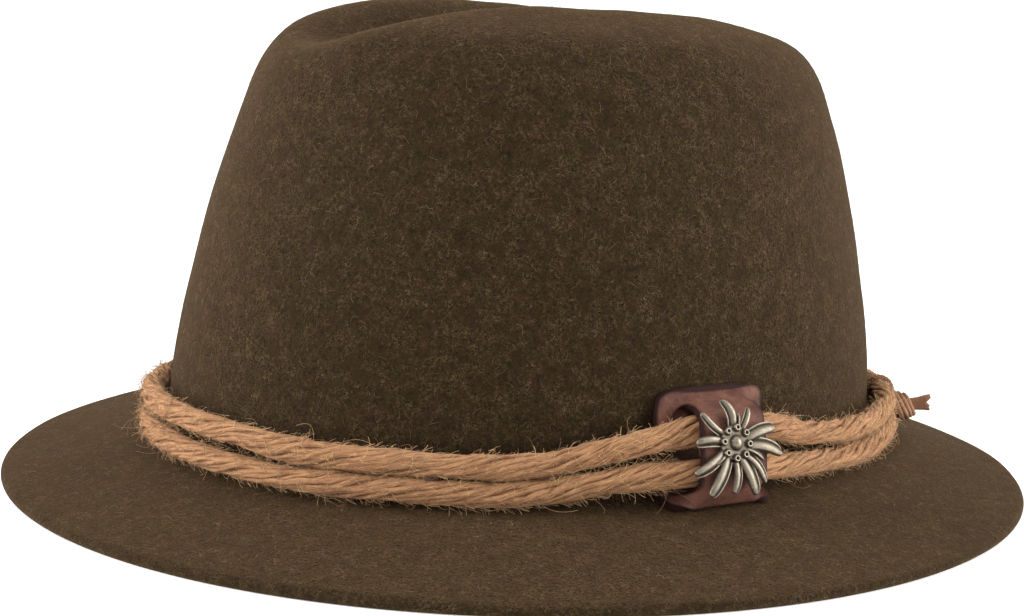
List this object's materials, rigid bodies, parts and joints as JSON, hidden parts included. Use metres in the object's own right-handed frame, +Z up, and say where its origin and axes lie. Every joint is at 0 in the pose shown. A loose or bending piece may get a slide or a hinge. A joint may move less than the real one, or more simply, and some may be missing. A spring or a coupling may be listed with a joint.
{
  "type": "tyrolean hat",
  "caption": "Felt hat with a teardrop-dented crown and a short sloping brim, trimmed with a doubled jute cord, a leather keeper, a cast edelweiss ornament and a lace tie.",
  "frame": {"origin": "middle of the brim's outline, on the plane that the brim's edge rests on", "axes": "+Z up, -Y the hat's front, +X the wearer's left with the ornament"},
  "size_m": [0.2748, 0.2888, 0.131],
  "materials": {
    "felt": "mottled olive-brown wool felt with a short nap",
    "jute": "loosely laid natural jute",
    "leather": "smooth dark red-brown leather with a fine grain",
    "white_metal": "antiqued casting, polished crests over dark hollows",
    "lace": "raw leather lace"
  },
  "bodies": {
    "root": {"felt_body": "felt", "rope_lower": "jute", "rope_upper": "jute", "leather_keeper": "leather", "edelweiss": "white_metal", "lace_tie": "lace"}
  },
  "joints": []
}
